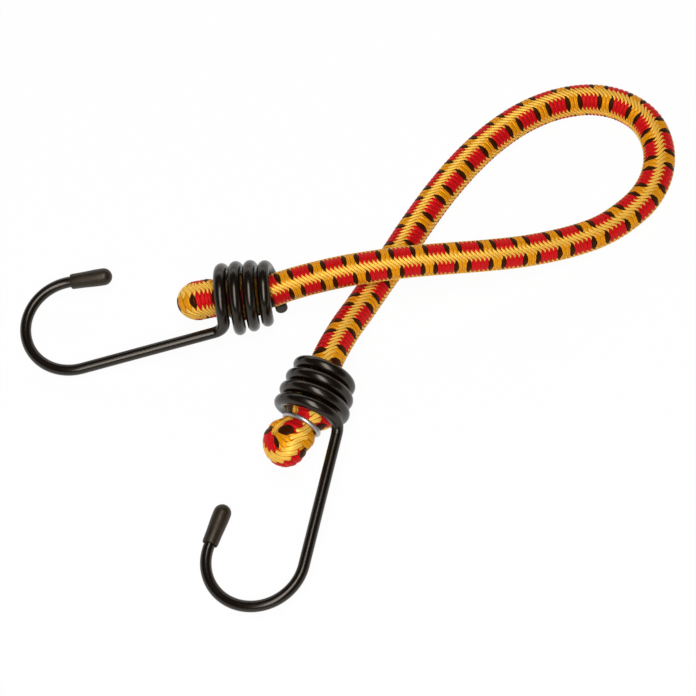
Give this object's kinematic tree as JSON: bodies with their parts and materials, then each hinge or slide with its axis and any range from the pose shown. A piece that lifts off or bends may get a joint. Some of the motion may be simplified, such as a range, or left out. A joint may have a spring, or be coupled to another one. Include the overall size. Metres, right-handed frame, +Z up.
{
  "type": "bungee cord",
  "caption": "Elastic cord in a braided yellow, red and black sheath, doubled back at both ends inside coiled wire hooks with capped tips.",
  "frame": {"origin": "on the ground, under the middle of the box round the two hooks with their folded ends", "axes": "+Z up, +Y away from the viewer of the picture, +X to the viewer's right"},
  "size_m": [0.2143, 0.1938, 0.0238],
  "materials": {
    "braid": "woven polyester yarns in golden yellow, red and brown-black",
    "rubber": "natural rubber strands",
    "crimp": "bright zinc-plated wire",
    "wire": "satin brown-black coating on steel wire",
    "cap": "soft matte vinyl"
  },
  "bodies": {
    "cord": {"braided_sheath": "braid", "rubber_strand_1": "rubber", "rubber_strand_2": "rubber", "rubber_strand_3": "rubber", "rubber_strand_4": "rubber", "rubber_strand_5": "rubber", "rubber_strand_6": "rubber", "rubber_strand_7": "rubber"},
    "cord_end_a": {"folded_end_a": "braid", "crimp_ring_a": "crimp"},
    "hook_a": {"hook_wire_a": "wire", "tip_cap_a": "cap"},
    "cord_end_b": {"folded_end_b": "braid", "crimp_ring_b": "crimp"},
    "hook_b": {"hook_wire_b": "wire", "tip_cap_b": "cap"}
  },
  "joints": [
    {"name": "stretch_a", "type": "slide", "parent": "cord", "child": "cord_end_a", "axis": [-0.9877, -0.13, 0.0872], "range_m": [0, 0.06], "stiffness_N_per_m": 460, "deforming": ["braided_sheath", "rubber_strand_1", "rubber_strand_2", "rubber_strand_3", "rubber_strand_4", "rubber_strand_5", "rubber_strand_6", "rubber_strand_7"]},
    {"name": "swivel_a", "type": "hinge", "parent": "cord_end_a", "child": "hook_a", "pos_m": [0.0111, 0.0452, 0.0113], "axis": [-0.9811, -0.1292, -0.1444], "range_deg": [-90, 90]},
    {"name": "stretch_b", "type": "slide", "parent": "cord", "child": "cord_end_b", "axis": [-0.3074, -0.9516, 0], "range_m": [0, 0.06], "stiffness_N_per_m": 460, "deforming": ["braided_sheath", "rubber_strand_1", "rubber_strand_2", "rubber_strand_3", "rubber_strand_4", "rubber_strand_5", "rubber_strand_6", "rubber_strand_7"]},
    {"name": "swivel_b", "type": "hinge", "parent": "cord_end_b", "child": "hook_b", "pos_m": [0.0394, 0.00285, 0.0113], "axis": [-0.3051, -0.9447, -0.1201], "range_deg": [-90, 90]}
  ]
}
